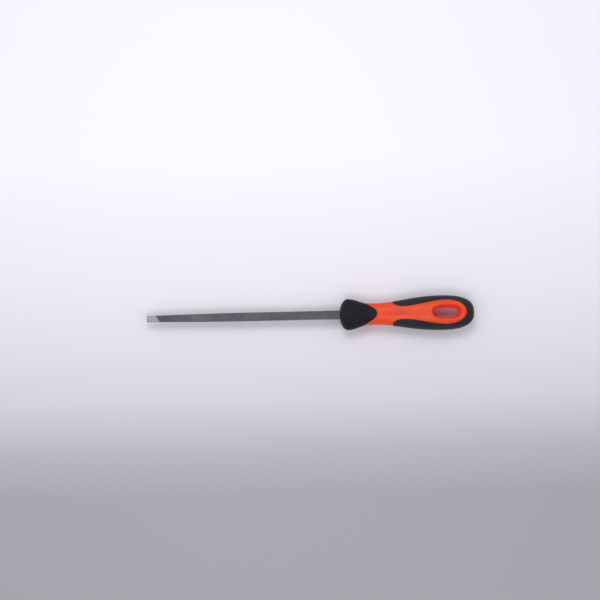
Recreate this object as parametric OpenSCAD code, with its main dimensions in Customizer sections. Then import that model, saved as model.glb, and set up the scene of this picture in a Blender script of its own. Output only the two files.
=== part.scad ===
// Flat hand file with a two-material moulded handle.
// The blade's axis is X, tip at -X, butt of the handle at +X; Z is normal to the flat working faces.
// The origin is on the axis, halfway along the overall length.

/* [Blade] */
// Length of blade that shows in front of the handle, tip to collar
blade_len = 152; // [100:1:250]
// Width of the blade over its parallel stretch
blade_w = 6.8; // [6:0.2:9]
// Thickness of the blade over its parallel stretch, tooth crest to tooth crest
blade_t = 3.4; // [3:0.1:4]
// Length of the stretch that narrows towards the tip
taper_len = 85; // [40:5:90]
// Width of the blade at its tip
tip_w = 5; // [4:0.2:6]
// Thickness of the blade at its tip
tip_t = 2.4; // [2:0.1:3]
// Length of the plain heel between the teeth and the collar
heel_len = 10; // [4:1:15]

/* [Tang] */
// Reach of the tang inside the handle, from the collar's nose
tang_len = 56; // [40:1:62]
// Width of the tang just behind its shoulders
tang_w = 5.2; // [4:0.1:5.6]
// Width of the tang at its end
tang_end_w = 2.2; // [1.5:0.1:3]
// Thickness of the tang at its end
tang_end_t = 1.6; // [1.2:0.1:2]

/* [Handle] */
// Length of the handle from the collar's nose to the butt
handle_len = 106; // [100:1:115]
// Width across the collar
collar_w = 24.6; // [22:0.2:27]
// Width across the neck
neck_w = 17.2; // [16:0.2:19]
// Width across the belly of the grip
grip_w = 27.3; // [26:0.1:30]
// Thickness of the collar and neck as a share of their width
front_flatness = 0.89; // [0.8:0.01:1]
// Thickness of the belly as a share of its width
belly_flatness = 0.84; // [0.7:0.01:0.95]
// Depth of the rubber over the core
rubber_t = 1.8; // [1.2:0.1:2.2]

/* [Hanging slot] */
// Length of the slot where it opens on the broad faces
slot_len = 22.8; // [20:0.2:24]
// Width of the slot where it opens on the broad faces
slot_w = 10.6; // [9:0.2:12]
// How much further in the slot's wall lies at mid thickness
slot_draft = 1.6; // [0.4:0.1:2]

/* [Hidden] */

steel_colour = "dimgray";
core_colour = "orangered";
rubber_colour = "#26262a";

// Frame: the collar's nose sits blade_len in from the tip, and the whole is centred on X = 0.
overall_len = blade_len + handle_len;
nose_x = blade_len - overall_len / 2;

// Blade, measured along X from the nose.
heel_relief = 0.1;      // the heel lies this far below the tooth crests
shoulder_x = 2.6;       // the full width runs this far behind the nose
shoulder_len = 3.4;     // length over which the shoulders narrow to the tang
taper_power = 1.7;      // how the width and thickness fall off along the tapered stretch
taper_steps = 12;
socket_play = 0.05;     // room around the tang and heel in the handle

// Handle, as lengths along the handle from the nose.
share = handle_len / 106;               // the lengths below are those of a 106 mm handle
nose_len = 6.6 * share;                 // nose to the collar's widest ring
neck_s = 29 * share;                    // nose to the neck's narrowest ring
belly_s = 78.8 * share;                 // nose to the belly's widest ring
butt_power = 2.7;                       // squareness of the butt's outline
section_power = 2.3;                    // squareness of the cross-sections
ring_sides = 42;                        // not a multiple of four, so a flat lies at top and bottom
nose_rings = 7;
middle_rings = 26;
butt_rings = 11;

// [share of the way from ring to ring, share of the change in width] between the widest and narrowest rings.
collar_to_neck = [[0, 0], [0.25, 0.25], [0.45, 0.68], [0.62, 0.91], [1, 1]];
neck_to_belly = [[0, 0], [0.2, 0.13], [0.42, 0.44], [0.66, 0.785], [1, 1]];

// Rubber's outlines in plan, as lengths from the nose and half widths.
lobe_side_s = 18.1 * share;             // where the collar's edge crosses the handle's side
lobe_tip_s = 29.4 * share;              // tip of the collar's tongue on the broad faces
lobe_power = 2;
prong_s = 41.6 * share;                 // foremost point of the rear grip's prongs
waist_s = 49.5 * share;                 // narrowest point between the prongs
window_s = 84 * share;                  // widest point of the bare window
window_end_s = 99.5 * share;
waist_half = 5.3;
window_half = 9.8;
outline_steps = 14;
far = 40;                               // safely beyond the handle's sides

slot_s = 83.8 * share;                  // middle of the hanging slot
slot_power = 2.5;                       // squareness of the slot's outline
slot_sides = 48;

// --- Helpers -------------------------------------------------------------------------------------

function mix(a, b, t) = a + (b - a) * t;
function smooth(t) = let (u = min(max(t, 0), 1)) u * u * (3 - 2 * u);
function signed_pow(v, p) = sign(v) * pow(abs(v), p);

// Index of the span of table that holds t.
function span_at(table, t, i = 0) =
    (i >= len(table) - 2 || t < table[i + 1][0]) ? i : span_at(table, t, i + 1);

// Slope of the table at entry i; it is level at both ends.
function slope_at(table, i) =
    (i == 0 || i == len(table) - 1) ? 0
    : (table[i + 1][1] - table[i - 1][1]) / (table[i + 1][0] - table[i - 1][0]);

// Smooth curve through the table's entries.
function curve_at(table, t) =
    let (
        i = span_at(table, t),
        run = table[i + 1][0] - table[i][0],
        u = (t - table[i][0]) / run,
        start = slope_at(table, i) * run,
        end = slope_at(table, i + 1) * run
    )
    mix(table[i][1], table[i + 1][1], smooth(u))
        + start * u * (1 - u) * (1 - u) - end * u * u * (1 - u);

// Half width of the handle at a length s from the nose.
function half_width(s) =
    s <= nose_len
        ? collar_w / 2 * sqrt(max(0, 1 - pow(1 - s / nose_len, 2)))
    : s <= neck_s
        ? mix(collar_w, neck_w, curve_at(collar_to_neck, (s - nose_len) / (neck_s - nose_len))) / 2
    : s <= belly_s
        ? mix(neck_w, grip_w, curve_at(neck_to_belly, (s - neck_s) / (belly_s - neck_s))) / 2
    : grip_w / 2 * pow(max(0, 1 - pow((s - belly_s) / (handle_len - belly_s), butt_power)), 1 / butt_power);

// Thickness over width at a length s from the nose.
function flatness(s) = mix(front_flatness, belly_flatness, smooth((s - neck_s) / (belly_s - neck_s)));

// Lengths of the rings, closer together where the nose and the butt turn in.
ring_s = [
    for (i = [1 : nose_rings]) nose_len * (1 - cos(90 * i / nose_rings)),
    for (i = [1 : middle_rings]) mix(nose_len, belly_s, i / middle_rings),
    for (i = [1 : butt_rings - 1]) mix(belly_s, handle_len, sin(90 * i / butt_rings))
];

// One ring of the handle's surface, drawn in by inset.
function ring_points(s, inset) =
    let (
        share = 1 - 2 * inset / grip_w,
        w = half_width(s) * share,
        x = mix(inset, handle_len - inset, s / handle_len)
    )
    [for (i = [0 : ring_sides - 1])
        let (a = 360 * i / ring_sides)
        [x,
         w * signed_pow(cos(a), 2 / section_power),
         w * flatness(s) * signed_pow(sin(a), 2 / section_power)]];

// The handle's whole outer form, or the form of the core beneath the rubber.
module handle_form(inset = 0) {
    n = ring_sides;
    last = len(ring_s) * n;
    points = [
        for (s = ring_s) each ring_points(s, inset),
        [inset, 0, 0],
        [handle_len - inset, 0, 0]
    ];
    faces = [
        for (k = [0 : len(ring_s) - 2], i = [0 : n - 1])
            each [
                [k * n + i, (k + 1) * n + i, k * n + (i + 1) % n],
                [k * n + (i + 1) % n, (k + 1) * n + i, (k + 1) * n + (i + 1) % n]
            ],
        for (i = [0 : n - 1]) [last, i, (i + 1) % n],
        for (i = [0 : n - 1]) [last - n + (i + 1) % n, last - n + i, last + 1]
    ];
    polyhedron(points = points, faces = faces, convexity = 6);
}

// --- Plan outlines -------------------------------------------------------------------------------

// Everything in front of the collar's rear edge, whose tongue lies on the broad faces.
module collar_plan() {
    side = half_width(lobe_side_s);
    tongue = [for (i = [-outline_steps : outline_steps])
        let (y = side * i / outline_steps)
        [mix(lobe_side_s, lobe_tip_s, 1 - pow(abs(y) / side, lobe_power)), y]];
    polygon(concat([[-far, -far], [lobe_side_s, -far]], tongue, [[lobe_side_s, far], [-far, far]]));
}

// Half width of the bare plastic between the prongs: an arc, an easing curve and an arc.
prong_side = half_width(prong_s);
window_edge = [
    for (i = [0 : outline_steps])
        let (a = 90 * (1 - i / outline_steps))
        [mix(waist_s, prong_s, sin(a)), mix(prong_side, waist_half, cos(a))],
    for (i = [1 : outline_steps])
        let (t = i / outline_steps)
        [mix(waist_s, window_s, t), mix(waist_half, window_half, smooth(t))],
    for (i = [1 : outline_steps])
        let (a = 90 * i / outline_steps)
        [mix(window_s, window_end_s, sin(a)), window_half * cos(a)]
];

// The neck and the windows on the broad faces, which the rear rubber leaves bare.
module bare_plan() {
    edge = [for (p = window_edge) if (p[1] > 0.001) p];
    tip = [[window_end_s, 0]];
    back = [for (i = [len(edge) - 1 : -1 : 0]) [edge[i][0], -edge[i][1]]];
    polygon(concat([[-far, far], [prong_s, far]], edge, tip, back, [[prong_s, -far], [-far, -far]]));
}

module prism() {
    translate([0, 0, -far]) linear_extrude(2 * far) children();
}

// --- Blade ---------------------------------------------------------------------------------------

// Outline of the blade and tang, seen square to a face of the given full size and end sizes.
function blade_outline(full, tip, heel, tang, tang_end, play) =
    let (
        half = concat(
            [for (i = [0 : taper_steps])
                let (t = i / taper_steps)
                [-blade_len + taper_len * t, mix(full, tip, pow(1 - t, taper_power)) / 2]],
            heel == full ? [] : [[-heel_len, full / 2], [-heel_len, heel / 2]],
            [[shoulder_x + play, heel / 2]],
            [[shoulder_x + shoulder_len + play, tang / 2], [tang_len + play, tang_end / 2]]
        ),
        n = len(half)
    )
    concat(
        [for (p = half) [p[0], p[1] + play]],
        [for (i = [n - 1 : -1 : 0]) [half[i][0], -half[i][1] - play]]
    );

// The blade with its tang, or the room for it when play is given.
module blade_form(play = 0) {
    heel_t = blade_t - 2 * heel_relief;
    plan = blade_outline(blade_w, tip_w, blade_w, tang_w, tang_end_w, play);
    side = blade_outline(blade_t, tip_t, heel_t, heel_t, tang_end_t, play);
    intersection() {
        prism() polygon(plan);
        rotate([90, 0, 0]) prism() polygon(side);
    }
}

// Oval slot right through the grip, narrowest at mid thickness.
module slot_form() {
    power = 2 / slot_power;
    waist = [slot_len / 2 - slot_draft, slot_w / 2 - slot_draft];
    spread = [1 + 2 * slot_draft / waist[0], 1 + 2 * slot_draft / waist[1]];
    depth = grip_w * belly_flatness / 2;
    outline = [for (i = [0 : slot_sides - 1])
        let (a = 360 * i / slot_sides)
        [waist[0] * signed_pow(cos(a), power), waist[1] * signed_pow(sin(a), power)]];
    translate([slot_s, 0, 0]) for (side = [0, 1]) mirror([0, 0, side])
        translate([0, 0, -0.05]) linear_extrude(2 * depth, scale = spread) polygon(outline);
}

// --- Nodes ---------------------------------------------------------------------------------------

module in_frame() {
    translate([nose_x, 0, 0]) children();
}

// Hardened steel blade, forged in one piece with the tang that sits in the handle.
module blade() {
    color(steel_colour) in_frame() blade_form();
}

// Hard plastic core: bare at the neck and in the two windows, drawn in beneath the rubber.
module handle_core() {
    color(core_colour) in_frame() difference() {
        union() {
            handle_form(rubber_t);
            intersection() {
                handle_form();
                difference() {
                    prism() bare_plan();
                    prism() collar_plan();
                }
            }
        }
        blade_form(socket_play);
        slot_form();
    }
}

// Rubber collar over the front of the core, with a tongue on each broad face.
module front_collar() {
    color(rubber_colour) in_frame() difference() {
        intersection() {
            handle_form();
            prism() collar_plan();
        }
        handle_form(rubber_t);
        blade_form(socket_play);
    }
}

// Rubber grip round the butt, with a prong along each side.
module rear_grip() {
    color(rubber_colour) in_frame() difference() {
        handle_form();
        handle_form(rubber_t);
        prism() bare_plan();
    }
}

blade();
handle_core();
front_collar();
rear_grip();
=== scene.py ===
"""Looks of the flat file: blade with cut teeth, moulded core, soft collar and soft rear grip."""
import math

import bmesh
import bpy
import numpy as np
from mathutils import Matrix, Vector
from mathutils.kdtree import KDTree


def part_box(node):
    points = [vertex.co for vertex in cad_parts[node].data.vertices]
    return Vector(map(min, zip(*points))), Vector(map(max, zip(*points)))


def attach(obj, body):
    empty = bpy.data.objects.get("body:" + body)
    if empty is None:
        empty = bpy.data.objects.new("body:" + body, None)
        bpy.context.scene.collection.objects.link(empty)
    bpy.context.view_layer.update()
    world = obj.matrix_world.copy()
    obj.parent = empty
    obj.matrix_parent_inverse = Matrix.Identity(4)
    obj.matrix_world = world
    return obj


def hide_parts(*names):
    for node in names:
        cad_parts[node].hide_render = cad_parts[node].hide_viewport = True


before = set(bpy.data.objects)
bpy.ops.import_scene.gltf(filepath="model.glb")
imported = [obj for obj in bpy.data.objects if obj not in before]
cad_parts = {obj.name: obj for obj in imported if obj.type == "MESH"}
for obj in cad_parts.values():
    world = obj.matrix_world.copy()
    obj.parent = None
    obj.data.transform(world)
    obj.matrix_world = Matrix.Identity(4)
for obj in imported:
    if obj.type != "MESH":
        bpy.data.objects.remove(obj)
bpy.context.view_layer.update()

MM = 0.001

# The handle's own lengths run from the collar's nose, in millimetres, as s.
NOSE_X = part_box("front_collar")[0].x / MM
HANDLE_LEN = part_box("rear_grip")[1].x / MM - NOSE_X
BLADE_LEN = NOSE_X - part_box("blade")[0].x / MM
BLADE_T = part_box("blade")[1].z * 2 / MM
BLADE_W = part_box("blade")[1].y * 2 / MM
TANG_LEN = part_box("blade")[1].x / MM - NOSE_X
COLLAR_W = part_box("front_collar")[1].y * 2 / MM
GRIP_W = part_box("rear_grip")[1].y * 2 / MM

# Handle form, as in the CAD model.
SHARE = HANDLE_LEN / 106
NECK_W = 17.2
NOSE_LEN = 6.6 * SHARE
NECK_S = 29 * SHARE
BELLY_S = 78.8 * SHARE
BUTT_POWER = 2.7
SECTION_POWER = 2.3
FRONT_FLATNESS = 0.89
BELLY_FLATNESS = 0.84
COLLAR_TO_NECK = ((0, 0), (0.25, 0.25), (0.45, 0.68), (0.62, 0.91), (1, 1))
NECK_TO_BELLY = ((0, 0), (0.2, 0.13), (0.42, 0.44), (0.66, 0.785), (1, 1))
LOBE_SIDE_S = 18.1 * SHARE
LOBE_TIP_S = 29.4 * SHARE
LOBE_POWER = 2
PRONG_S = 41.6 * SHARE
WAIST_S = 49.5 * SHARE
WINDOW_S = 84 * SHARE
WINDOW_END_S = 99.5 * SHARE
WAIST_HALF = 5.3
WINDOW_HALF = 9.8
SLOT_S = 83.8 * SHARE
SLOT_LEN = 22.8
SLOT_W = 10.6
SLOT_DRAFT = 1.6

# Detail that only the look has.
GRID = 0.36  # spacing of the handle's mesh
ROUND = 0.42  # rounding of the edges along the grooves where two materials meet
GRIP_GROOVE = 0.28  # width of the groove round the windows
COLLAR_GROOVE = 0.28  # width of the groove behind the collar
SKIN = 1.1  # depth of the grooves, and of the rubber over the core
SLOT_FILLET = 1.4
SLOT_POWER = 2.5  # squareness of the slot's outline
MOUTH_GAP = 0.12  # room around the blade where it enters the collar
MOUTH_POWER = 7  # squareness of the mouth
PANEL_S = 45.5 * SHARE  # plain raised outline on the neck
PANEL_LEN = 21
PANEL_W = 5.4
PANEL_RISE = 0.28
PANEL_RIM = 0.4  # half width of the raised line
PANEL_FLANK = 0.7 * PANEL_RIM  # width of the slope on each side of the raised line
FACE_Z = 3  # what lies above this height on the neck belongs to a broad face

# Sampling of the handle.
STEP = 0.002  # half the stretch over which the surface's slope is measured
RIB_POINTS = 30  # even points on a rib of the window or the grip
NECK_POINTS = 60
COLLAR_POINTS = 84
LEAD_POINTS = 10  # ribs of the neck that end on the prong's front
LEAD_SHARE = 0.2  # share of the prong's rounded front that those ribs take
FILLET_ROWS = 7
WALL_ROWS = 13
SEAM_SNAP = 2e-4  # a point this close to a mirror plane is moved onto it
WELD = 1.5e-3  # points closer than this become one

# --- Curves of the handle ------------------------------------------------------------------------


def mix(a, b, t):
    return a + (b - a) * t


def smooth(t):
    u = np.clip(t, 0, 1)
    return u * u * (3 - 2 * u)


def curve_at(table, t):
    """Smooth curve through the table's (position, value) pairs, level at both ends."""
    pos, val = np.array(table, float).T
    slope = np.zeros(len(pos))
    slope[1:-1] = (val[2:] - val[:-2]) / (pos[2:] - pos[:-2])
    t = np.clip(t, 0, 1)
    i = np.clip(np.searchsorted(pos, t, side="right") - 1, 0, len(pos) - 2)
    run = pos[i + 1] - pos[i]
    u = (t - pos[i]) / run
    lean = slope[i] * run * u * (1 - u) ** 2 - slope[i + 1] * run * u * u * (1 - u)
    return mix(val[i], val[i + 1], smooth(u)) + lean


def half_width(s):
    """Half width of the handle at lengths s."""
    s = np.asarray(s, float)
    nose = np.sqrt(np.clip(1 - (1 - s / NOSE_LEN) ** 2, 0, 1)) * COLLAR_W / 2
    neck = mix(COLLAR_W, NECK_W, curve_at(COLLAR_TO_NECK, (s - NOSE_LEN) / (NECK_S - NOSE_LEN))) / 2
    belly = mix(NECK_W, GRIP_W, curve_at(NECK_TO_BELLY, (s - NECK_S) / (BELLY_S - NECK_S))) / 2
    tail = np.clip((s - BELLY_S) / (HANDLE_LEN - BELLY_S), 0, 1)
    butt = GRIP_W / 2 * (1 - tail**BUTT_POWER) ** (1 / BUTT_POWER)
    rear = np.where(s <= BELLY_S, belly, butt)
    return np.where(s <= NOSE_LEN, nose, np.where(s <= NECK_S, neck, rear))


def half_depth(s):
    """Half thickness of the handle at lengths s."""
    share = smooth((np.asarray(s) - NECK_S) / (BELLY_S - NECK_S))
    return half_width(s) * mix(FRONT_FLATNESS, BELLY_FLATNESS, share)


def ring_point(s, angle):
    """Surface points at lengths s and section angles, from 0 at the side to 90 on the broad face."""
    y = half_width(s) * np.clip(np.cos(angle), 0, 1) ** (2 / SECTION_POWER)
    z = half_depth(s) * np.clip(np.sin(angle), 0, 1) ** (2 / SECTION_POWER)
    return np.stack(np.broadcast_arrays(s, y, z), -1)


def angle_at(s, y):
    """Section angle of the surface point at plan position (s, y)."""
    return np.arccos(np.clip(y / half_width(s), 0, 1) ** (SECTION_POWER / 2))


def lift(plan):
    """Plan points (s, y) raised onto the surface."""
    share = np.clip(np.abs(plan[..., 1]) / np.maximum(half_width(plan[..., 0]), 1e-6), 0, 1)
    z = half_depth(plan[..., 0]) * (1 - share**SECTION_POWER) ** (1 / SECTION_POWER)
    return np.concatenate([plan, z[..., None]], -1)


def outward(points):
    """Unit normals of the handle's surface, at points of the quarter with y and z of at least 0."""
    s = np.clip(points[..., 0], 2 * STEP, HANDLE_LEN - 2 * STEP)
    y = np.maximum(points[..., 1], 0)
    z = np.maximum(points[..., 2], 0)
    w, h = half_width(s), half_depth(s)
    dw = (half_width(s + STEP) - half_width(s - STEP)) / (2 * STEP)
    dh = (half_depth(s + STEP) - half_depth(s - STEP)) / (2 * STEP)
    n = SECTION_POWER
    ny, nz = (y / w) ** (n - 1) / w, (z / h) ** (n - 1) / h
    ns = -ny * y / w * dw - nz * z / h * dh
    normal = np.stack([ns, ny, nz], -1)
    return normal / np.maximum(np.linalg.norm(normal, axis=-1, keepdims=True), 1e-12)


# --- Grids on the handle -------------------------------------------------------------------------


def arc_lengths(points):
    steps = np.linalg.norm(np.diff(points, axis=0), axis=1)
    return np.concatenate([[0], np.cumsum(steps)])


def walk(points, at):
    """Points at the given lengths along a polyline."""
    run = arc_lengths(points)
    return np.stack([np.interp(at, run, points[:, k]) for k in range(points.shape[1])], -1)


def stops(length, count, near, far):
    """Stations along a rib: close together near its ends, even between."""
    # On a short rib the end stations are squeezed, so that they leave room for the even ones.
    squeeze = min(1, length / max(1e-9, 2.5 * (near[-1] + far[-1])))
    near, far = np.array(near) * squeeze, np.array(far) * squeeze
    middle = np.linspace(near[-1], length - far[-1], count)
    return np.concatenate([near[:-1], middle, (length - far[:-1])[::-1]])


def rib(points, count, near, far):
    run = arc_lengths(points)
    return walk(points, stops(run[-1], count, near, far))


EDGE_STOPS = (0, 0.1, 0.24, ROUND, 0.75)
PLAIN_STOPS = (0, 0.3)


def ease_to_side(start, end, count=240):
    """Plan line from start to end, with its points crowded at end, where the surface stands upright."""
    t = np.linspace(0, 1, count)
    share = (1 - (1 - t) ** SECTION_POWER)[:, None]
    return mix(start[None], end[None], share)


def plain_line(start, end, count=160):
    return mix(start[None], end[None], np.linspace(0, 1, count)[:, None])


def window_outline():
    """Outline of the bare window in plan, from the prong's tip to the rear end on the axis."""
    a = np.linspace(math.pi / 2, 0, 400)[:, None]
    side = float(half_width(PRONG_S))
    prong = np.hstack([mix(WAIST_S, PRONG_S, np.sin(a)), mix(side, WAIST_HALF, np.cos(a))])
    t = np.linspace(0, 1, 400)[1:, None]
    flank = np.hstack([mix(WAIST_S, WINDOW_S, t), mix(WAIST_HALF, WINDOW_HALF, smooth(t))])
    b = np.linspace(0, math.pi / 2, 400)[1:, None]
    rear = np.hstack([mix(WINDOW_S, WINDOW_END_S, np.sin(b)), WINDOW_HALF * np.cos(b)])
    return np.vstack([prong, flank, rear])


def collar_outline(angles):
    """The collar's rear edge at section angles, found by halving."""
    side = float(half_width(LOBE_SIDE_S))
    low, high = np.full(angles.shape, LOBE_SIDE_S - 1), np.full(angles.shape, LOBE_TIP_S + 1)
    for _ in range(50):
        mid = (low + high) / 2
        y = ring_point(mid, angles)[..., 1]
        edge = mix(LOBE_SIDE_S, LOBE_TIP_S, 1 - np.clip(y / side, 0, 1) ** LOBE_POWER)
        low, high = np.where(mid < edge, mid, low), np.where(mid < edge, high, mid)
    return (low + high) / 2


def slot_rim(grow, count):
    """Half outline of the slot, grown by a width, from front to rear, with its normals."""
    turn = np.linspace(math.pi, 0, 1200)
    power = 2 / SLOT_POWER
    fine = np.stack([
        SLOT_LEN / 2 * np.sign(np.cos(turn)) * np.abs(np.cos(turn)) ** power,
        SLOT_W / 2 * np.abs(np.sin(turn)) ** power,
    ], -1)
    fine[[0, -1], 1] = 0
    even = walk(fine, np.linspace(0, arc_lengths(fine)[-1], count))
    share = np.abs(even) / (SLOT_LEN / 2, SLOT_W / 2)
    normal = np.sign(even) * share ** (SLOT_POWER - 1) / (SLOT_LEN / 2, SLOT_W / 2)
    normal[[0, -1], 1] = 0
    normal /= np.linalg.norm(normal, axis=1, keepdims=True)
    return even + (SLOT_S, 0) + normal * grow, normal


def grip_outline(outline):
    """The rear grip's edge: the window's outline moved out over the surface by the groove's width."""
    line = walk(lift(outline), np.linspace(0, arc_lengths(lift(outline))[-1], 700))
    ahead = np.gradient(line, axis=0)
    side = np.cross(ahead, outward(line))
    side /= np.linalg.norm(side, axis=1, keepdims=True)
    side *= np.sign(side[-1, 0])
    moved = (line + side * GRIP_GROOVE)[:, :2]
    moved[0] = (PRONG_S + GRIP_GROOVE, half_width(PRONG_S + GRIP_GROOVE))
    moved[-1] = (WINDOW_END_S + GRIP_GROOVE, 0)
    moved[:, 1] = np.minimum(moved[:, 1], half_width(moved[:, 0]))
    return moved


def window_columns():
    """Paired plan points down the window, on its outline and on the axis or the slot's rim.

    Also gives the slot's stretch of them, with its normals, and the points on the prong's front.
    """
    outline = window_outline()
    run = arc_lengths(outline)
    corner = int(np.argmax(run > LEAD_SHARE * run[np.argmax(outline[:, 0] >= WAIST_S)]))
    length = run[-1] - run[corner]
    # Half the rim is about 1.05 times as long as the slot's length and width together.
    rim, normal = slot_rim(SLOT_FILLET, int(1.05 * (SLOT_LEN + SLOT_W) / GRID))
    start = np.array([outline[corner, 0], 0.0])
    end = np.array([WINDOW_END_S, 0.0])
    front = plain_line(start, rim[0], int((rim[0, 0] - start[0]) / GRID))
    rear = plain_line(rim[-1], end, int((end[0] - rim[-1, 0]) / GRID) + 2)
    inner = np.vstack([front[:-1], rim, rear[1:]])
    share = arc_lengths(inner)
    share = share / share[-1]
    outer = walk(outline, run[corner] + share * length)
    outer[-1] = end
    lead = walk(outline, np.linspace(0, run[corner], LEAD_POINTS))
    lead[0] = outline[0]
    return outer, inner, (len(front) - 1, len(front) - 1 + len(rim), normal), lead[:-1]


class Quarter:
    """Collects grids of points on the quarter with y and z of at least 0, in millimetres."""

    def __init__(self):
        self.points = []
        self.faces = []

    def grid(self, points):
        rows, cols, _ = points.shape
        base = sum(len(p) for p in self.points)
        self.points.append(points.reshape(-1, 3))
        k = base + np.arange(rows * cols).reshape(rows, cols)
        quads = np.stack([k[:-1, :-1], k[:-1, 1:], k[1:, 1:], k[1:, :-1]], -1).reshape(-1, 4)
        self.faces.append(quads)

    def whole(self, name):
        """Mirrors the quarter about both planes and welds it into one mesh object."""
        points = np.vstack(self.points)
        points[np.abs(points) < SEAM_SNAP] = 0
        faces = np.vstack(self.faces)
        bm = bmesh.new()
        for flip_y in (1, -1):
            for flip_z in (1, -1):
                placed = points * (1, flip_y, flip_z)
                verts = [bm.verts.new(p) for p in placed]
                for quad in faces if flip_y * flip_z > 0 else faces[:, ::-1]:
                    bm.faces.new([verts[i] for i in quad])
        bmesh.ops.remove_doubles(bm, verts=bm.verts, dist=WELD)
        bmesh.ops.dissolve_degenerate(bm, dist=1e-4, edges=bm.edges)
        return finish_mesh(bm, name)


def finish_mesh(bm, name, crease=42):
    """Closes holes, turns normals out, marks sharp edges and moves the mesh into the frame."""
    open_edges = [e for e in bm.edges if len(e.link_faces) == 1]
    if open_edges:
        bmesh.ops.holes_fill(bm, edges=open_edges, sides=0)
    bmesh.ops.recalc_face_normals(bm, faces=bm.faces)
    for edge in bm.edges:
        sharp = len(edge.link_faces) == 2 and edge.calc_face_angle(0) > math.radians(crease)
        edge.smooth = not sharp
    for face in bm.faces:
        face.smooth = True
    to_frame = Matrix.Diagonal((MM, MM, MM, 1)) @ Matrix.Translation((NOSE_X, 0, 0))
    bmesh.ops.transform(bm, matrix=to_frame, verts=bm.verts)
    mesh = bpy.data.meshes.new(name)
    bm.to_mesh(mesh)
    bm.free()
    obj = bpy.data.objects.new(name, mesh)
    bpy.context.scene.collection.objects.link(obj)
    return obj


class Rounding:
    """Rounds a surface off along a line on it."""

    def __init__(self, line):
        line = walk(line, np.arange(0, arc_lengths(line)[-1], 0.02))
        mirrored = [line, line * (1, -1, 1), line * (1, 1, -1)]
        self.tree = KDTree(sum(len(m) for m in mirrored))
        for i, p in enumerate(np.vstack(mirrored)):
            self.tree.insert(p, i)
        self.tree.balance()

    def cut(self, points):
        out = points.copy()
        normal = outward(points)
        for k in np.ndindex(points.shape[:2]):
            gap = self.tree.find(points[k])[2]
            if gap < ROUND:
                out[k] -= normal[k] * ROUND * (1 - gap / ROUND) ** 2
        return out


def sunk(points, depth):
    """The same points drawn in along the surface normals."""
    moved = points - outward(points) * depth
    moved[..., 1] = np.where(points[..., 1] < 1e-4, 0, np.maximum(moved[..., 1], 0))
    moved[..., 2] = np.where(points[..., 2] < 1e-4, 0, np.maximum(moved[..., 2], 0))
    return moved


def raise_panel(points):
    """Raises the plain stadium outline on the neck's broad faces."""
    reach = (PANEL_LEN - PANEL_W) / 2
    ds = np.maximum(np.abs(points[..., 0] - PANEL_S) - reach, 0)
    edge = np.abs(np.hypot(ds, points[..., 1]) - PANEL_W / 2 + PANEL_RIM)
    rise = PANEL_RISE * smooth((PANEL_RIM - edge) / PANEL_FLANK)
    return points + outward(points) * np.where(points[..., 2] > FACE_Z, rise, 0)[..., None]


def window_ribs(outer, inner):
    """Ribs from the window's outline in to the axis or the slot's rim."""
    return np.stack([
        rib(lift(plain_line(a, b)), RIB_POINTS, EDGE_STOPS, PLAIN_STOPS) for a, b in zip(outer, inner)
    ])


def neck_ribs(starts, rear, angles):
    """Lengthwise ribs from the collar's edge to the points in rear."""
    ribs = []
    for start, end, angle in zip(starts, rear[:, 0], angles):
        line = ring_point(np.linspace(start, end, 200), angle)
        ribs.append(rib(line, NECK_POINTS, EDGE_STOPS, EDGE_STOPS))
    ribs = np.stack(ribs)
    ribs[:, -1] = rear
    return ribs


def collar_ribs(ends, angles):
    """Ribs from the blade's mouth over the nose to the given ends."""
    ribs = []
    for s1, a in zip(ends, angles):
        mouth = mouth_share(ring_point(np.array([NOSE_LEN]), a)[0])
        turn = np.linspace(math.asin(mouth), math.pi / 2, 80)
        nose = ring_point(NOSE_LEN * (1 - np.cos(turn)), a)
        body = ring_point(np.linspace(NOSE_LEN, s1, 160)[1:], a)
        ribs.append(rib(np.vstack([nose, body]), COLLAR_POINTS, PLAIN_STOPS, EDGE_STOPS))
    return np.stack(ribs)


def side_ribs(line):
    """Ribs from a plan line round the window out to the handle's side."""
    front = line[0, 0]
    tail = mix(BELLY_S, HANDLE_LEN, np.sin(np.linspace(0, math.pi / 2, 400)))
    side_s = np.concatenate([np.linspace(front, BELLY_S, 300), tail[1:]])
    side = np.stack([side_s, half_width(side_s)], -1)
    side[-1, 1] = 0
    run = arc_lengths(line)
    ends = walk(side, run / run[-1] * arc_lengths(side)[-1])
    ends[:, 1] = half_width(ends[:, 0])
    ends[-1] = side[-1]
    return np.stack([
        rib(lift(ease_to_side(a, b)), RIB_POINTS, EDGE_STOPS, PLAIN_STOPS) for a, b in zip(line, ends)
    ])


def wall(top, bottom):
    """A short wall between two rows of points."""
    return np.stack([mix(top, bottom, t) for t in (0, 0.5, 1)])


def mouth_share(ray):
    """How far along a ray from the axis the mouth around the blade lies."""
    y = ray[1] / (BLADE_W / 2 + MOUTH_GAP)
    z = ray[2] / (BLADE_T / 2 + MOUTH_GAP)
    return float((abs(y) ** MOUTH_POWER + abs(z) ** MOUTH_POWER) ** (-1 / MOUTH_POWER))


def slot_wall(rim, normal):
    """Fillet from the rim on the broad face, then the wall that leans in down to the middle."""
    rows = []
    for turn in np.linspace(0, math.pi / 2, FILLET_ROWS):
        row = rim.copy()
        row[:, :2] -= normal * SLOT_FILLET * math.sin(turn)
        row[:, 2] -= SLOT_FILLET * (1 - math.cos(turn))
        rows.append(row)
    foot = rows[-1].copy()
    for t in np.linspace(0, 1, WALL_ROWS + 1)[1:]:
        row = foot.copy()
        row[:, :2] -= normal * SLOT_DRAFT * t
        row[:, 2] = foot[:, 2] * (1 - t)
        rows.append(row)
    return np.stack(rows)


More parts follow.
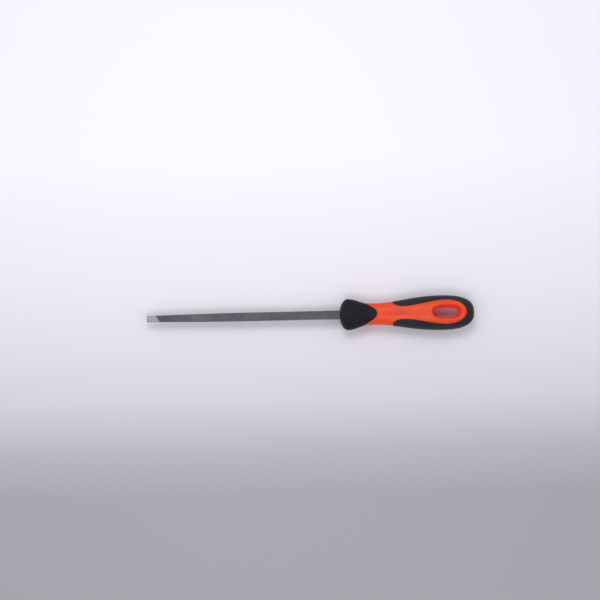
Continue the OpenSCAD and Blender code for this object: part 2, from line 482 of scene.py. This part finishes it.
def rubber_shell(name, ribs, rounding, ends):
    """A shell of rubber over the given ribs, closed by a wall at the given ends of them."""
    skin, base = rounding.cut(ribs), sunk(ribs, SKIN)
    shell = Quarter()
    shell.grid(skin)
    shell.grid(base)
    for end in ends:
        shell.grid(wall(skin[:, end], base[:, end]))
    return shell.whole(name)


def build_handle():
    """The core, the collar and the rear grip, as objects in that order."""
    outer, inner, (rim_from, rim_to, rim_normal), lead = window_columns()
    window = window_ribs(outer, inner)

    # The neck's ribs end on the prong's front and on the window's first rib.
    rear = np.vstack([lift(lead), window[0]])
    angles = angle_at(rear[:, 0], rear[:, 1])
    angles[0], angles[-1] = 0, math.pi / 2
    starts = collar_outline(angles)
    neck = neck_ribs(starts, rear, angles)

    # What lies under the rubber, and the rubber itself, which stands back by the groove's width.
    under_collar = collar_ribs(starts, angles)
    collar = collar_ribs(starts - COLLAR_GROOVE, angles)
    line = np.vstack([lead, outer])
    under_grip = side_ribs(line)
    edge = grip_outline(window_outline())
    grip = side_ribs(walk(edge, arc_lengths(line) / arc_lengths(line)[-1] * arc_lengths(edge)[-1]))

    turn = np.linspace(0, math.pi / 2, 600)
    neck_edge = Rounding(ring_point(collar_outline(turn), turn))
    window_edge = Rounding(lift(window_outline()))
    neck_skin = neck_edge.cut(window_edge.cut(raise_panel(neck)))
    window_skin = neck_edge.cut(window_edge.cut(raise_panel(window)))
    rim_line = np.vstack([neck_skin[: len(lead), -1], window_skin[:, 0]])

    core = Quarter()
    core.grid(neck_skin)
    core.grid(window_skin)
    core.grid(wall(neck_skin[:, 0], sunk(neck, SKIN)[:, 0]))
    core.grid(wall(rim_line, sunk(under_grip, SKIN)[:, 0]))
    core.grid(sunk(under_collar, SKIN))
    core.grid(sunk(under_grip, SKIN))
    core.grid(slot_wall(window_skin[rim_from:rim_to, -1], rim_normal))

    collar_edge = Rounding(ring_point(collar_outline(turn) - COLLAR_GROOVE, turn))
    return (
        core.whole("core"),
        rubber_shell("collar", collar, collar_edge, (-1, 0)),
        rubber_shell("grip", grip, Rounding(lift(edge)), (0,)),
    )


# --- Blade ---------------------------------------------------------------------------------------

TAPER_LEN = 85
TIP_W = 5.0
TIP_T = 2.4
TAPER_POWER = 1.7
HEEL_LEN = 10
HEEL_RELIEF = 0.1
SHOULDER_X = 2.6
SHOULDER_LEN = 3.4
TANG_W, TANG_END_W, TANG_END_T = 5.2, 2.2, 1.6
TIP_BARE = 8.5  # length of the uncut tip on the axis
TOOTH_DEPTH = 0.17
CORNER = 0.1  # the teeth stop this far short of the blade's corners
SKIRT = 0.5  # how deep the border of the teeth goes into the blade
BAR_INSET = TOOTH_DEPTH + 0.05  # the plain bar under the teeth lies just below their valleys
LAP = 0.3  # how far the tip and the heel run in under the teeth
TIP_CHAMFER = 0.16
BAR_CHAMFER = 0.1
HEEL_CHAMFER = 0.22
TANG_CHAMFER = 0.2
FIRST_CUT = (-60, 0.62)  # direction in degrees from the blade's axis, and pitch
SECOND_CUT = (68, 0.72)
VALLEY = 0.62  # where a tooth's valley lies between two crests
SPARE_X, SPARE_Y = 3, 0.8  # margins round a field of teeth before it is trimmed


def blade_half(x, full, tip):
    """Half width or half thickness of the blade at x from the nose."""
    t = np.clip((x + BLADE_LEN) / TAPER_LEN, 0, 1)
    return mix(full, tip, (1 - t) ** TAPER_POWER) / 2


def skew(cut):
    """Shift in x per unit of y of a line along a cut."""
    return 1 / math.tan(math.radians(cut[0]))


def tooth_lattice(start, end, half):
    """Pointed teeth where the two cuts cross, on a strip centred on its axis, as a bmesh."""
    cuts = (FIRST_CUT, SECOND_CUT)
    ways = np.array([[-math.sin(math.radians(a)), math.cos(math.radians(a))] for a, _ in cuts])
    pitch = np.array([p for _, p in cuts])
    low_x, high_x, reach_y = start - SPARE_X, end + SPARE_X, half + SPARE_Y
    corners = np.array([[x, y] for x in (low_x, high_x) for y in (-reach_y, reach_y)])
    spans = corners @ ways.T / pitch
    low, high = np.floor(spans.min(0)).astype(int), np.ceil(spans.max(0)).astype(int)
    crests = [np.arange(a, b) for a, b in zip(low, high)]
    a, b = np.meshgrid(*[np.sort([*c, *(c + VALLEY)]) for c in crests], indexing="ij")
    spot = np.stack([a * pitch[0], b * pitch[1]], -1) @ np.linalg.inv(ways).T
    # Crests lie at whole numbers of pitches, so anything between them is a valley.
    deep = (a % 1 > VALLEY / 2) | (b % 1 > VALLEY / 2)
    near = (spot[..., 0] > low_x) & (spot[..., 0] < high_x) & (np.abs(spot[..., 1]) < reach_y)
    bm = bmesh.new()
    verts = {}
    for i, j in np.argwhere(near):
        verts[i, j] = bm.verts.new((*spot[i, j], -TOOTH_DEPTH * deep[i, j]))
    for i, j in verts:
        ring = [verts.get(k) for k in ((i, j), (i + 1, j), (i + 1, j + 1), (i, j + 1))]
        if all(ring):
            bm.faces.new(ring)
    return bm


def trim(bm, point, normal):
    """Drops what lies beyond a plane."""
    every = list(bm.verts) + list(bm.edges) + list(bm.faces)
    bmesh.ops.bisect_plane(bm, geom=every, dist=1e-5, plane_co=point, plane_no=normal, clear_outer=True)


def drop_skirt(bm, depth):
    """Takes the open border of a tooth field down into the blade."""
    border = [e for e in bm.edges if len(e.link_faces) == 1]
    made = bmesh.ops.extrude_edge_only(bm, edges=border)["geom"]
    for v in made:
        if isinstance(v, bmesh.types.BMVert):
            v.co.z = -depth


def tooth_field(lean):
    """The teeth of one broad face, still flat and untapered, trimmed at the sides and the ends."""
    half = BLADE_W / 2 - CORNER
    start, end = -BLADE_LEN + TIP_BARE, -HEEL_LEN
    bm = tooth_lattice(start, end, half)
    trim(bm, (0, half, 0), (0, 1, 0))
    trim(bm, (0, -half, 0), (0, -1, 0))
    trim(bm, (start, 0, 0), Vector((-1, lean, 0)).normalized())
    trim(bm, (end, 0, 0), Vector((1, -lean, 0)).normalized())
    drop_skirt(bm, SKIRT)
    return bm


def place_field(bm, sign):
    """Lays a flat field of teeth on a broad face of the tapered blade."""
    for v in bm.verts:
        x, y, height = v.co
        half_w = float(blade_half(x, BLADE_W, TIP_W))
        half_t = float(blade_half(x, BLADE_T, TIP_T))
        v.co = (x, y * 2 * half_w / BLADE_W, sign * (half_t + height))


def join_meshes(parts):
    """One bmesh holding several."""
    whole = bmesh.new()
    for part in parts:
        mesh = bpy.data.meshes.new("part")
        part.to_mesh(mesh)
        part.free()
        whole.from_mesh(mesh)
        bpy.data.meshes.remove(mesh)
    return whole


def loft(stations, chamfer):
    """A bar through (x, lean, half width, half thickness) stations, with chamfered corners and ends."""
    c = chamfer
    first, last = stations[0], stations[-1]
    ends = [(first[0], first[1], first[2] - c, first[3] - c), (first[0] + c, *first[1:])]
    tail = [(last[0] - c, *last[1:]), (last[0], last[1], last[2] - c, last[3] - c)]
    rows = []
    for x, lean, w, t in ends + list(stations[1:-1]) + tail:
        upper = [(w, t - c), (w - c, t), (c - w, t), (-w, t - c)]
        lower = [(y, -z) for y, z in reversed(upper)]
        rows.append([(x + lean * y, y, z) for y, z in upper + lower])
    bm = bmesh.new()
    rings = [[bm.verts.new(p) for p in row] for row in rows]
    for one, two in zip(rings, rings[1:]):
        for k in range(8):
            bm.faces.new((one[k], one[(k + 1) % 8], two[(k + 1) % 8], two[k]))
    bm.faces.new(rings[0])
    bm.faces.new(rings[-1])
    return bm


def blade_stations(start, end, count, inset, lean_start, lean_end):
    """Stations of the tapered blade between two places, drawn in by inset."""
    xs = np.linspace(start, end, count)
    leans = np.linspace(lean_start, lean_end, count)
    half_w = blade_half(xs, BLADE_W, TIP_W) - inset
    half_t = blade_half(xs, BLADE_T, TIP_T) - inset
    return [tuple(map(float, row)) for row in zip(xs, leans, half_w, half_t)]


def build_blade():
    """The toothed fields, the ground tip and the plain body with its tang."""
    lean = skew(FIRST_CUT)
    fields = []
    for sign in (1, -1):
        field = tooth_field(lean)
        place_field(field, sign)
        fields.append(field)
    teeth = finish_mesh(join_meshes(fields), "teeth", crease=25)

    # The ground tip's slanted rear end follows the teeth's, a little less slanted.
    tip_end = -BLADE_LEN + TIP_BARE + LAP
    tip = loft(blade_stations(-BLADE_LEN, tip_end, 8, 0.02, 0, 0.97 * lean), TIP_CHAMFER)
    tip = finish_mesh(tip, "tip")

    bar = loft(blade_stations(-BLADE_LEN + 2, -HEEL_LEN + 4, 60, BAR_INSET, 0, lean), BAR_CHAMFER)
    w, t = BLADE_W / 2, BLADE_T / 2 - HEEL_RELIEF
    heel = loft([
        (-HEEL_LEN - LAP, lean, w, t),
        (-HEEL_LEN / 2, lean / 2, w, t),
        (SHOULDER_X, 0, w, t),
    ], HEEL_CHAMFER)
    # The tang starts just inside the heel, narrows quickly down to its root, then slowly.
    root = SHOULDER_X + SHOULDER_LEN
    tang = loft([
        (SHOULDER_X - 0.4, 0, w - 0.2, t - 0.05),
        (root, 0, TANG_W / 2, mix(t, TANG_END_T / 2, 0.06)),
        (TANG_LEN, 0, TANG_END_W / 2, TANG_END_T / 2),
    ], TANG_CHAMFER)
    body = finish_mesh(join_meshes([bar, heel, tang]), "body")
    return teeth, tip, body


# --- Materials -----------------------------------------------------------------------------------


def ramp(nodes, links, share, stops):
    """Colours along a scale of 0 to 1, from pairs of place and colour."""
    node = nodes.new("ShaderNodeValToRGB")
    elements = node.color_ramp.elements
    while len(elements) < len(stops):
        elements.new(0.5)
    for element, (place, colour) in zip(elements, stops):
        element.position = place
        element.color = (*colour, 1)
    links.new(share, node.inputs["Fac"])
    return node.outputs["Color"]


class Shader:
    """A Principled material whose noise reads the object's own coordinates, in metres."""

    def __init__(self, name):
        self.material = bpy.data.materials.new(name)
        self.material.use_nodes = True
        self.nodes = self.material.node_tree.nodes
        self.links = self.material.node_tree.links
        self.main = self.nodes["Principled BSDF"]
        self.place = self.nodes.new("ShaderNodeTexCoord").outputs["Object"]

    def set(self, **values):
        for name, value in values.items():
            self.main.inputs[name.replace("_", " ").title().replace("Ior", "IOR")].default_value = value

    def stretched(self, scale):
        node = self.nodes.new("ShaderNodeMapping")
        node.inputs["Scale"].default_value = scale
        self.links.new(self.place, node.inputs["Vector"])
        return node.outputs["Vector"]

    def noise(self, scale, detail=3, stretch=None):
        node = self.nodes.new("ShaderNodeTexNoise")
        node.inputs["Scale"].default_value = scale
        node.inputs["Detail"].default_value = detail
        self.links.new(self.stretched(stretch) if stretch else self.place, node.inputs["Vector"])
        return node.outputs["Fac"]

    def specks(self, scale):
        node = self.nodes.new("ShaderNodeTexVoronoi")
        node.inputs["Scale"].default_value = scale
        self.links.new(self.place, node.inputs["Vector"])
        return node.outputs["Distance"]

    def reach(self, centre_x, half_x, half_y):
        """Distance in plan from a point on the axis, as a share of an ellipse's half sizes."""
        node = self.nodes.new("ShaderNodeMapping")
        node.inputs["Scale"].default_value = (1 / half_x, 1 / half_y, 0)
        node.inputs["Location"].default_value = (-centre_x / half_x, 0, 0)
        self.links.new(self.place, node.inputs["Vector"])
        length = self.nodes.new("ShaderNodeVectorMath")
        length.operation = "LENGTH"
        self.links.new(node.outputs["Vector"], length.inputs[0])
        return length.outputs["Value"]

    def span(self, value, low, high, to_low=0.0, to_high=1.0):
        node = self.nodes.new("ShaderNodeMapRange")
        limits = {"From Min": low, "From Max": high, "To Min": to_low, "To Max": to_high}
        for name, number in limits.items():
            node.inputs[name].default_value = number
        self.links.new(value, node.inputs["Value"])
        return node.outputs["Result"]

    def blend(self, share, one, two):
        node = self.nodes.new("ShaderNodeMix")
        node.data_type = "RGBA"
        self.links.new(share, node.inputs["Factor"])
        for socket, colour in ((node.inputs[6], one), (node.inputs[7], two)):
            if isinstance(colour, tuple):
                socket.default_value = (*colour, 1)
            else:
                self.links.new(colour, socket)
        return node.outputs[2]

    def bump(self, height, depth, strength=1.0, under=None):
        node = self.nodes.new("ShaderNodeBump")
        node.inputs["Distance"].default_value = depth
        node.inputs["Strength"].default_value = strength
        self.links.new(height, node.inputs["Height"])
        if under:
            self.links.new(under, node.inputs["Normal"])
        return node.outputs["Normal"]

    def wire(self, **outputs):
        for name, output in outputs.items():
            self.links.new(output, self.main.inputs[name.replace("_", " ").title()])


def plastic_material():
    m = Shader("satin_orange_plastic")
    m.set(specular_ior_level=0.25, subsurface_weight=0.8, subsurface_scale=0.008)
    cloud = m.span(m.noise(45, 4), 0.3, 0.7)
    grain = m.noise(2600, 2)
    scuff = m.span(m.noise(900, 3, (0.12, 1, 1)), 0.66, 0.78)
    skin = m.blend(cloud, (0.75, 0.073, 0.02), (0.8, 0.085, 0.025))
    # Inside the raised outline the skin is finely stippled.
    panel = m.reach((NOSE_X + PANEL_S) * MM, PANEL_LEN / 2 * MM, PANEL_W / 2 * MM)
    stipple = m.blend(m.span(m.noise(5000, 1), 0.35, 0.6), skin, (0.6, 0.05, 0.016))
    skin = m.blend(m.span(panel, 0.92, 0.74), skin, stipple)
    # Painted glow: the slot's walls get a deeper, brighter red colour, standing in for light that soaks
    # through the moulding.
    slot = m.reach((NOSE_X + SLOT_S) * MM, SLOT_LEN / 2 * MM, SLOT_W / 2 * MM)
    # painted glow: brighter red base colour inside the slot
    tone = m.blend(m.span(slot, 1.1, 0.98), skin, (1.0, 0.055, 0.03))
    m.wire(
        base_color=m.blend(scuff, tone, (0.88, 0.14, 0.075)),
        roughness=m.span(m.noise(300, 3), 0.3, 0.7, 0.36, 0.47),
        normal=m.bump(grain, 0.00003, 0.5),
    )
    return m.material


def rubber_material(name, dark, pale, gloss):
    m = Shader(name)
    m.set(specular_ior_level=gloss, sheen_weight=0.03, sheen_roughness=0.5)
    cloud = m.span(m.noise(60, 4), 0.3, 0.7)
    dust = m.span(m.specks(1500), 0.16, 0.05)
    patch = m.span(m.noise(130, 3), 0.45, 0.62)
    tone = m.blend(cloud, dark, tuple(1.25 * c for c in dark))
    dusty = m.blend(patch, tone, m.blend(dust, tone, pale))
    grain = m.bump(m.specks(2600), 0.00006, 0.6)
    m.wire(
        base_color=dusty,
        roughness=m.span(m.noise(400, 3), 0.3, 0.7, 0.58, 0.74),
        normal=m.bump(m.noise(700, 3), 0.00004, 0.5, grain),
    )
    return m.material


def cut_steel_material():
    m = Shader("cut_steel")
    m.set(metallic=0.85)
    cloud = m.span(m.noise(70, 4, (0.4, 1, 1)), 0.3, 0.7)
    tone = m.blend(cloud, (0.085, 0.078, 0.09), (0.13, 0.12, 0.133))
    chips = m.span(m.noise(2300, 2), 0.6, 0.74)
    m.wire(
        base_color=m.blend(chips, tone, (0.24, 0.232, 0.248)),
        roughness=m.span(m.noise(500, 3), 0.3, 0.7, 0.42, 0.62),
        normal=m.bump(m.noise(4000, 2), 0.00002, 0.6),
    )
    return m.material


def ground_steel_material():
    m = Shader("ground_steel")
    m.set(metallic=0.95)
    lines = m.noise(900, 3, (6, 0.35, 1))
    tone = m.blend(m.span(m.noise(220, 3), 0.3, 0.7), (0.275, 0.27, 0.315), (0.375, 0.37, 0.43))
    m.wire(
        base_color=tone,
        roughness=m.span(lines, 0.3, 0.7, 0.3, 0.48),
        normal=m.bump(lines, 0.00002, 0.5),
    )
    return m.material


def plain_steel_material():
    m = Shader("plain_dark_steel")
    m.set(metallic=0.85)
    lines = m.noise(700, 3, (0.3, 3, 1))
    tone = m.blend(m.span(m.noise(150, 4), 0.3, 0.7), (0.068, 0.063, 0.07), (0.098, 0.092, 0.1))
    m.wire(
        base_color=tone,
        roughness=m.span(lines, 0.3, 0.7, 0.38, 0.55),
        normal=m.bump(lines, 0.00002, 0.5),
    )
    return m.material


# Paleness of the floor across the file, as painted light falloff: the floor's colour darkens towards
# the near edge, standing in for light that fades away from the far side.
FLOOR_PAINTED_FALLOFF = (
    (-0.7, 0.95),
    (-0.22, 0.47),
    (-0.14, 0.47),
    (-0.105, 0.58),
    (-0.065, 0.79),
    (-0.027, 0.89),
    (0.03, 1.0),
    (0.13, 1.13),
)
PAPER = (0.80, 0.785, 0.86)


def floor_material():
    m = Shader("pale_floor")
    m.set(roughness=0.9, specular_ior_level=0.1)
    split = m.nodes.new("ShaderNodeSeparateXYZ")
    m.links.new(m.place, split.inputs[0])
    low, high = FLOOR_PAINTED_FALLOFF[0][0], FLOOR_PAINTED_FALLOFF[-1][0]
    colours = [((y - low) / (high - low), [pale * c for c in PAPER]) for y, pale in FLOOR_PAINTED_FALLOFF]
    # painted light falloff: the floor's colour follows how the light fades across it
    m.wire(base_color=ramp(m.nodes, m.links, m.span(split.outputs["Y"], low, high), colours))
    return m.material


# --- Setting -------------------------------------------------------------------------------------


def rest_frame():
    """Axes of the floor, which the collar and the belly touch, and a point of it."""
    belly_s = SLOT_S - SLOT_LEN / 2 - SLOT_FILLET
    collar = Vector((NOSE_X + NOSE_LEN, 0, -COLLAR_W / 2 * FRONT_FLATNESS)) * MM
    belly = Vector((NOSE_X + belly_s, 0, -float(half_depth(belly_s)))) * MM
    along = (belly - collar).normalized()
    across = Vector((0, 1, 0))
    return along, across, along.cross(across), collar


FLOOR_SIZE = 40
FLOOR_GAP = 0.0001


def add_floor():
    along, across, up, spot = rest_frame()
    bpy.ops.mesh.primitive_plane_add(size=FLOOR_SIZE)
    floor = bpy.context.object
    floor.name = "floor"
    axes = Matrix((along, across, up)).transposed()
    floor.matrix_world = Matrix.Translation(spot - up * FLOOR_GAP) @ axes.to_4x4()
    floor.data.materials.append(floor_material())


def look(obj, place, target, upward):
    """Stands a camera or light at a place, facing a target."""
    back = (place - target).normalized()
    right = upward.cross(back).normalized()
    axes = Matrix((right, back.cross(right), back)).transposed()
    obj.matrix_world = Matrix.Translation(place) @ axes.to_4x4()


CAMERA_DISTANCE = 0.95
CAMERA_TILT = 6.0  # degrees off the floor's normal, towards the near side
CAMERA_ROLL = -1.24
CAMERA_LENS = 72.15
CAMERA_SENSOR = 36
CAMERA_AIM = (-0.0078, 0.0125)  # what the frame's centre shows, along and across from the origin


def add_camera():
    along, across, up, _ = rest_frame()
    data = bpy.data.cameras.new("camera")
    data.lens = CAMERA_LENS
    data.sensor_width = CAMERA_SENSOR
    camera = bpy.data.objects.new("camera", data)
    bpy.context.scene.collection.objects.link(camera)
    aim = along * CAMERA_AIM[0] + across * CAMERA_AIM[1]
    tilt = math.radians(CAMERA_TILT)
    back = up * math.cos(tilt) - across * math.sin(tilt)
    roll = math.radians(CAMERA_ROLL)
    look(camera, aim + back * CAMERA_DISTANCE, aim, across * math.cos(roll) - along * math.sin(roll))
    bpy.context.scene.camera = camera


def add_light(name, place, size, watts, tint):
    along, across, up, _ = rest_frame()
    data = bpy.data.lights.new(name, "AREA")
    data.shape = "DISK"
    data.size = size
    data.energy = watts
    data.color = tint
    light = bpy.data.objects.new(name, data)
    bpy.context.scene.collection.objects.link(light)
    look(light, along * place[0] + across * place[1] + up * place[2], Vector((0, 0, 0)), across)


# Brightness of the studio by height, from the horizon, 0, to straight overhead, 1: dim low down, then a
# broad ring of soft light with a dark middle, where the camera hangs.
STUDIO = (
    (0.0, 0.5),
    (0.12, 0.45),
    (0.3, 0.3),
    (0.45, 0.4),
    (0.66, 0.8),
    (0.87, 1.0),
    (0.93, 0.12),
    (1.0, 0.05),
)


def add_world(tint, strength):
    world = bpy.data.worlds.new("studio")
    bpy.context.scene.world = world
    world.use_nodes = True
    nodes, links = world.node_tree.nodes, world.node_tree.links

    split = nodes.new("ShaderNodeSeparateXYZ")
    links.new(nodes.new("ShaderNodeTexCoord").outputs["Generated"], split.inputs[0])
    colours = [(z, [level * c for c in tint]) for z, level in STUDIO]
    ring = ramp(nodes, links, split.outputs["Z"], colours)
    links.new(ring, nodes["Background"].inputs["Color"])

    # The ring is brighter off the two ends of the file than along its sides.
    ends = nodes.new("ShaderNodeMath")
    ends.operation = "ABSOLUTE"
    links.new(split.outputs["X"], ends.inputs[0])
    share = nodes.new("ShaderNodeMapRange")
    for socket, value in (("From Max", 0.6), ("To Min", 0.3 * strength), ("To Max", strength)):
        share.inputs[socket].default_value = value
    links.new(ends.outputs[0], share.inputs["Value"])
    links.new(share.outputs[0], nodes["Background"].inputs["Strength"])


def dress(obj, node, material):
    obj.name = f"{node}_{obj.name}" if obj.name != node else node
    obj.data.materials.append(material)
    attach(obj, "root")
    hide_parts(node)


def main():
    core, collar, grip = build_handle()
    dress(core, "handle_core", plastic_material())
    rubber = rubber_material(
        "soft_black_front", dark=(0.005, 0.005, 0.0085), pale=(0.04, 0.04, 0.052), gloss=0.2
    )
    dress(collar, "front_collar", rubber)
    rubber = rubber_material(
        "soft_black_rear", dark=(0.01, 0.0092, 0.014), pale=(0.07, 0.066, 0.08), gloss=0.33
    )
    dress(grip, "rear_grip", rubber)
    teeth, tip, body = build_blade()
    dress(teeth, "blade", cut_steel_material())
    dress(tip, "blade", ground_steel_material())
    dress(body, "blade", plain_steel_material())
    add_floor()
    add_camera()
    add_light("key", place=(-0.08, 0.38, 0.9), size=0.4, watts=2.75, tint=(1.0, 0.99, 1.0))
    add_light("fill", place=(-0.05, -0.36, 0.9), size=0.4, watts=2.2, tint=(1.0, 0.99, 1.0))
    add_world(tint=(0.99, 0.98, 1.0), strength=1.42)
    bpy.context.scene.view_settings.view_transform = "Standard"


main()
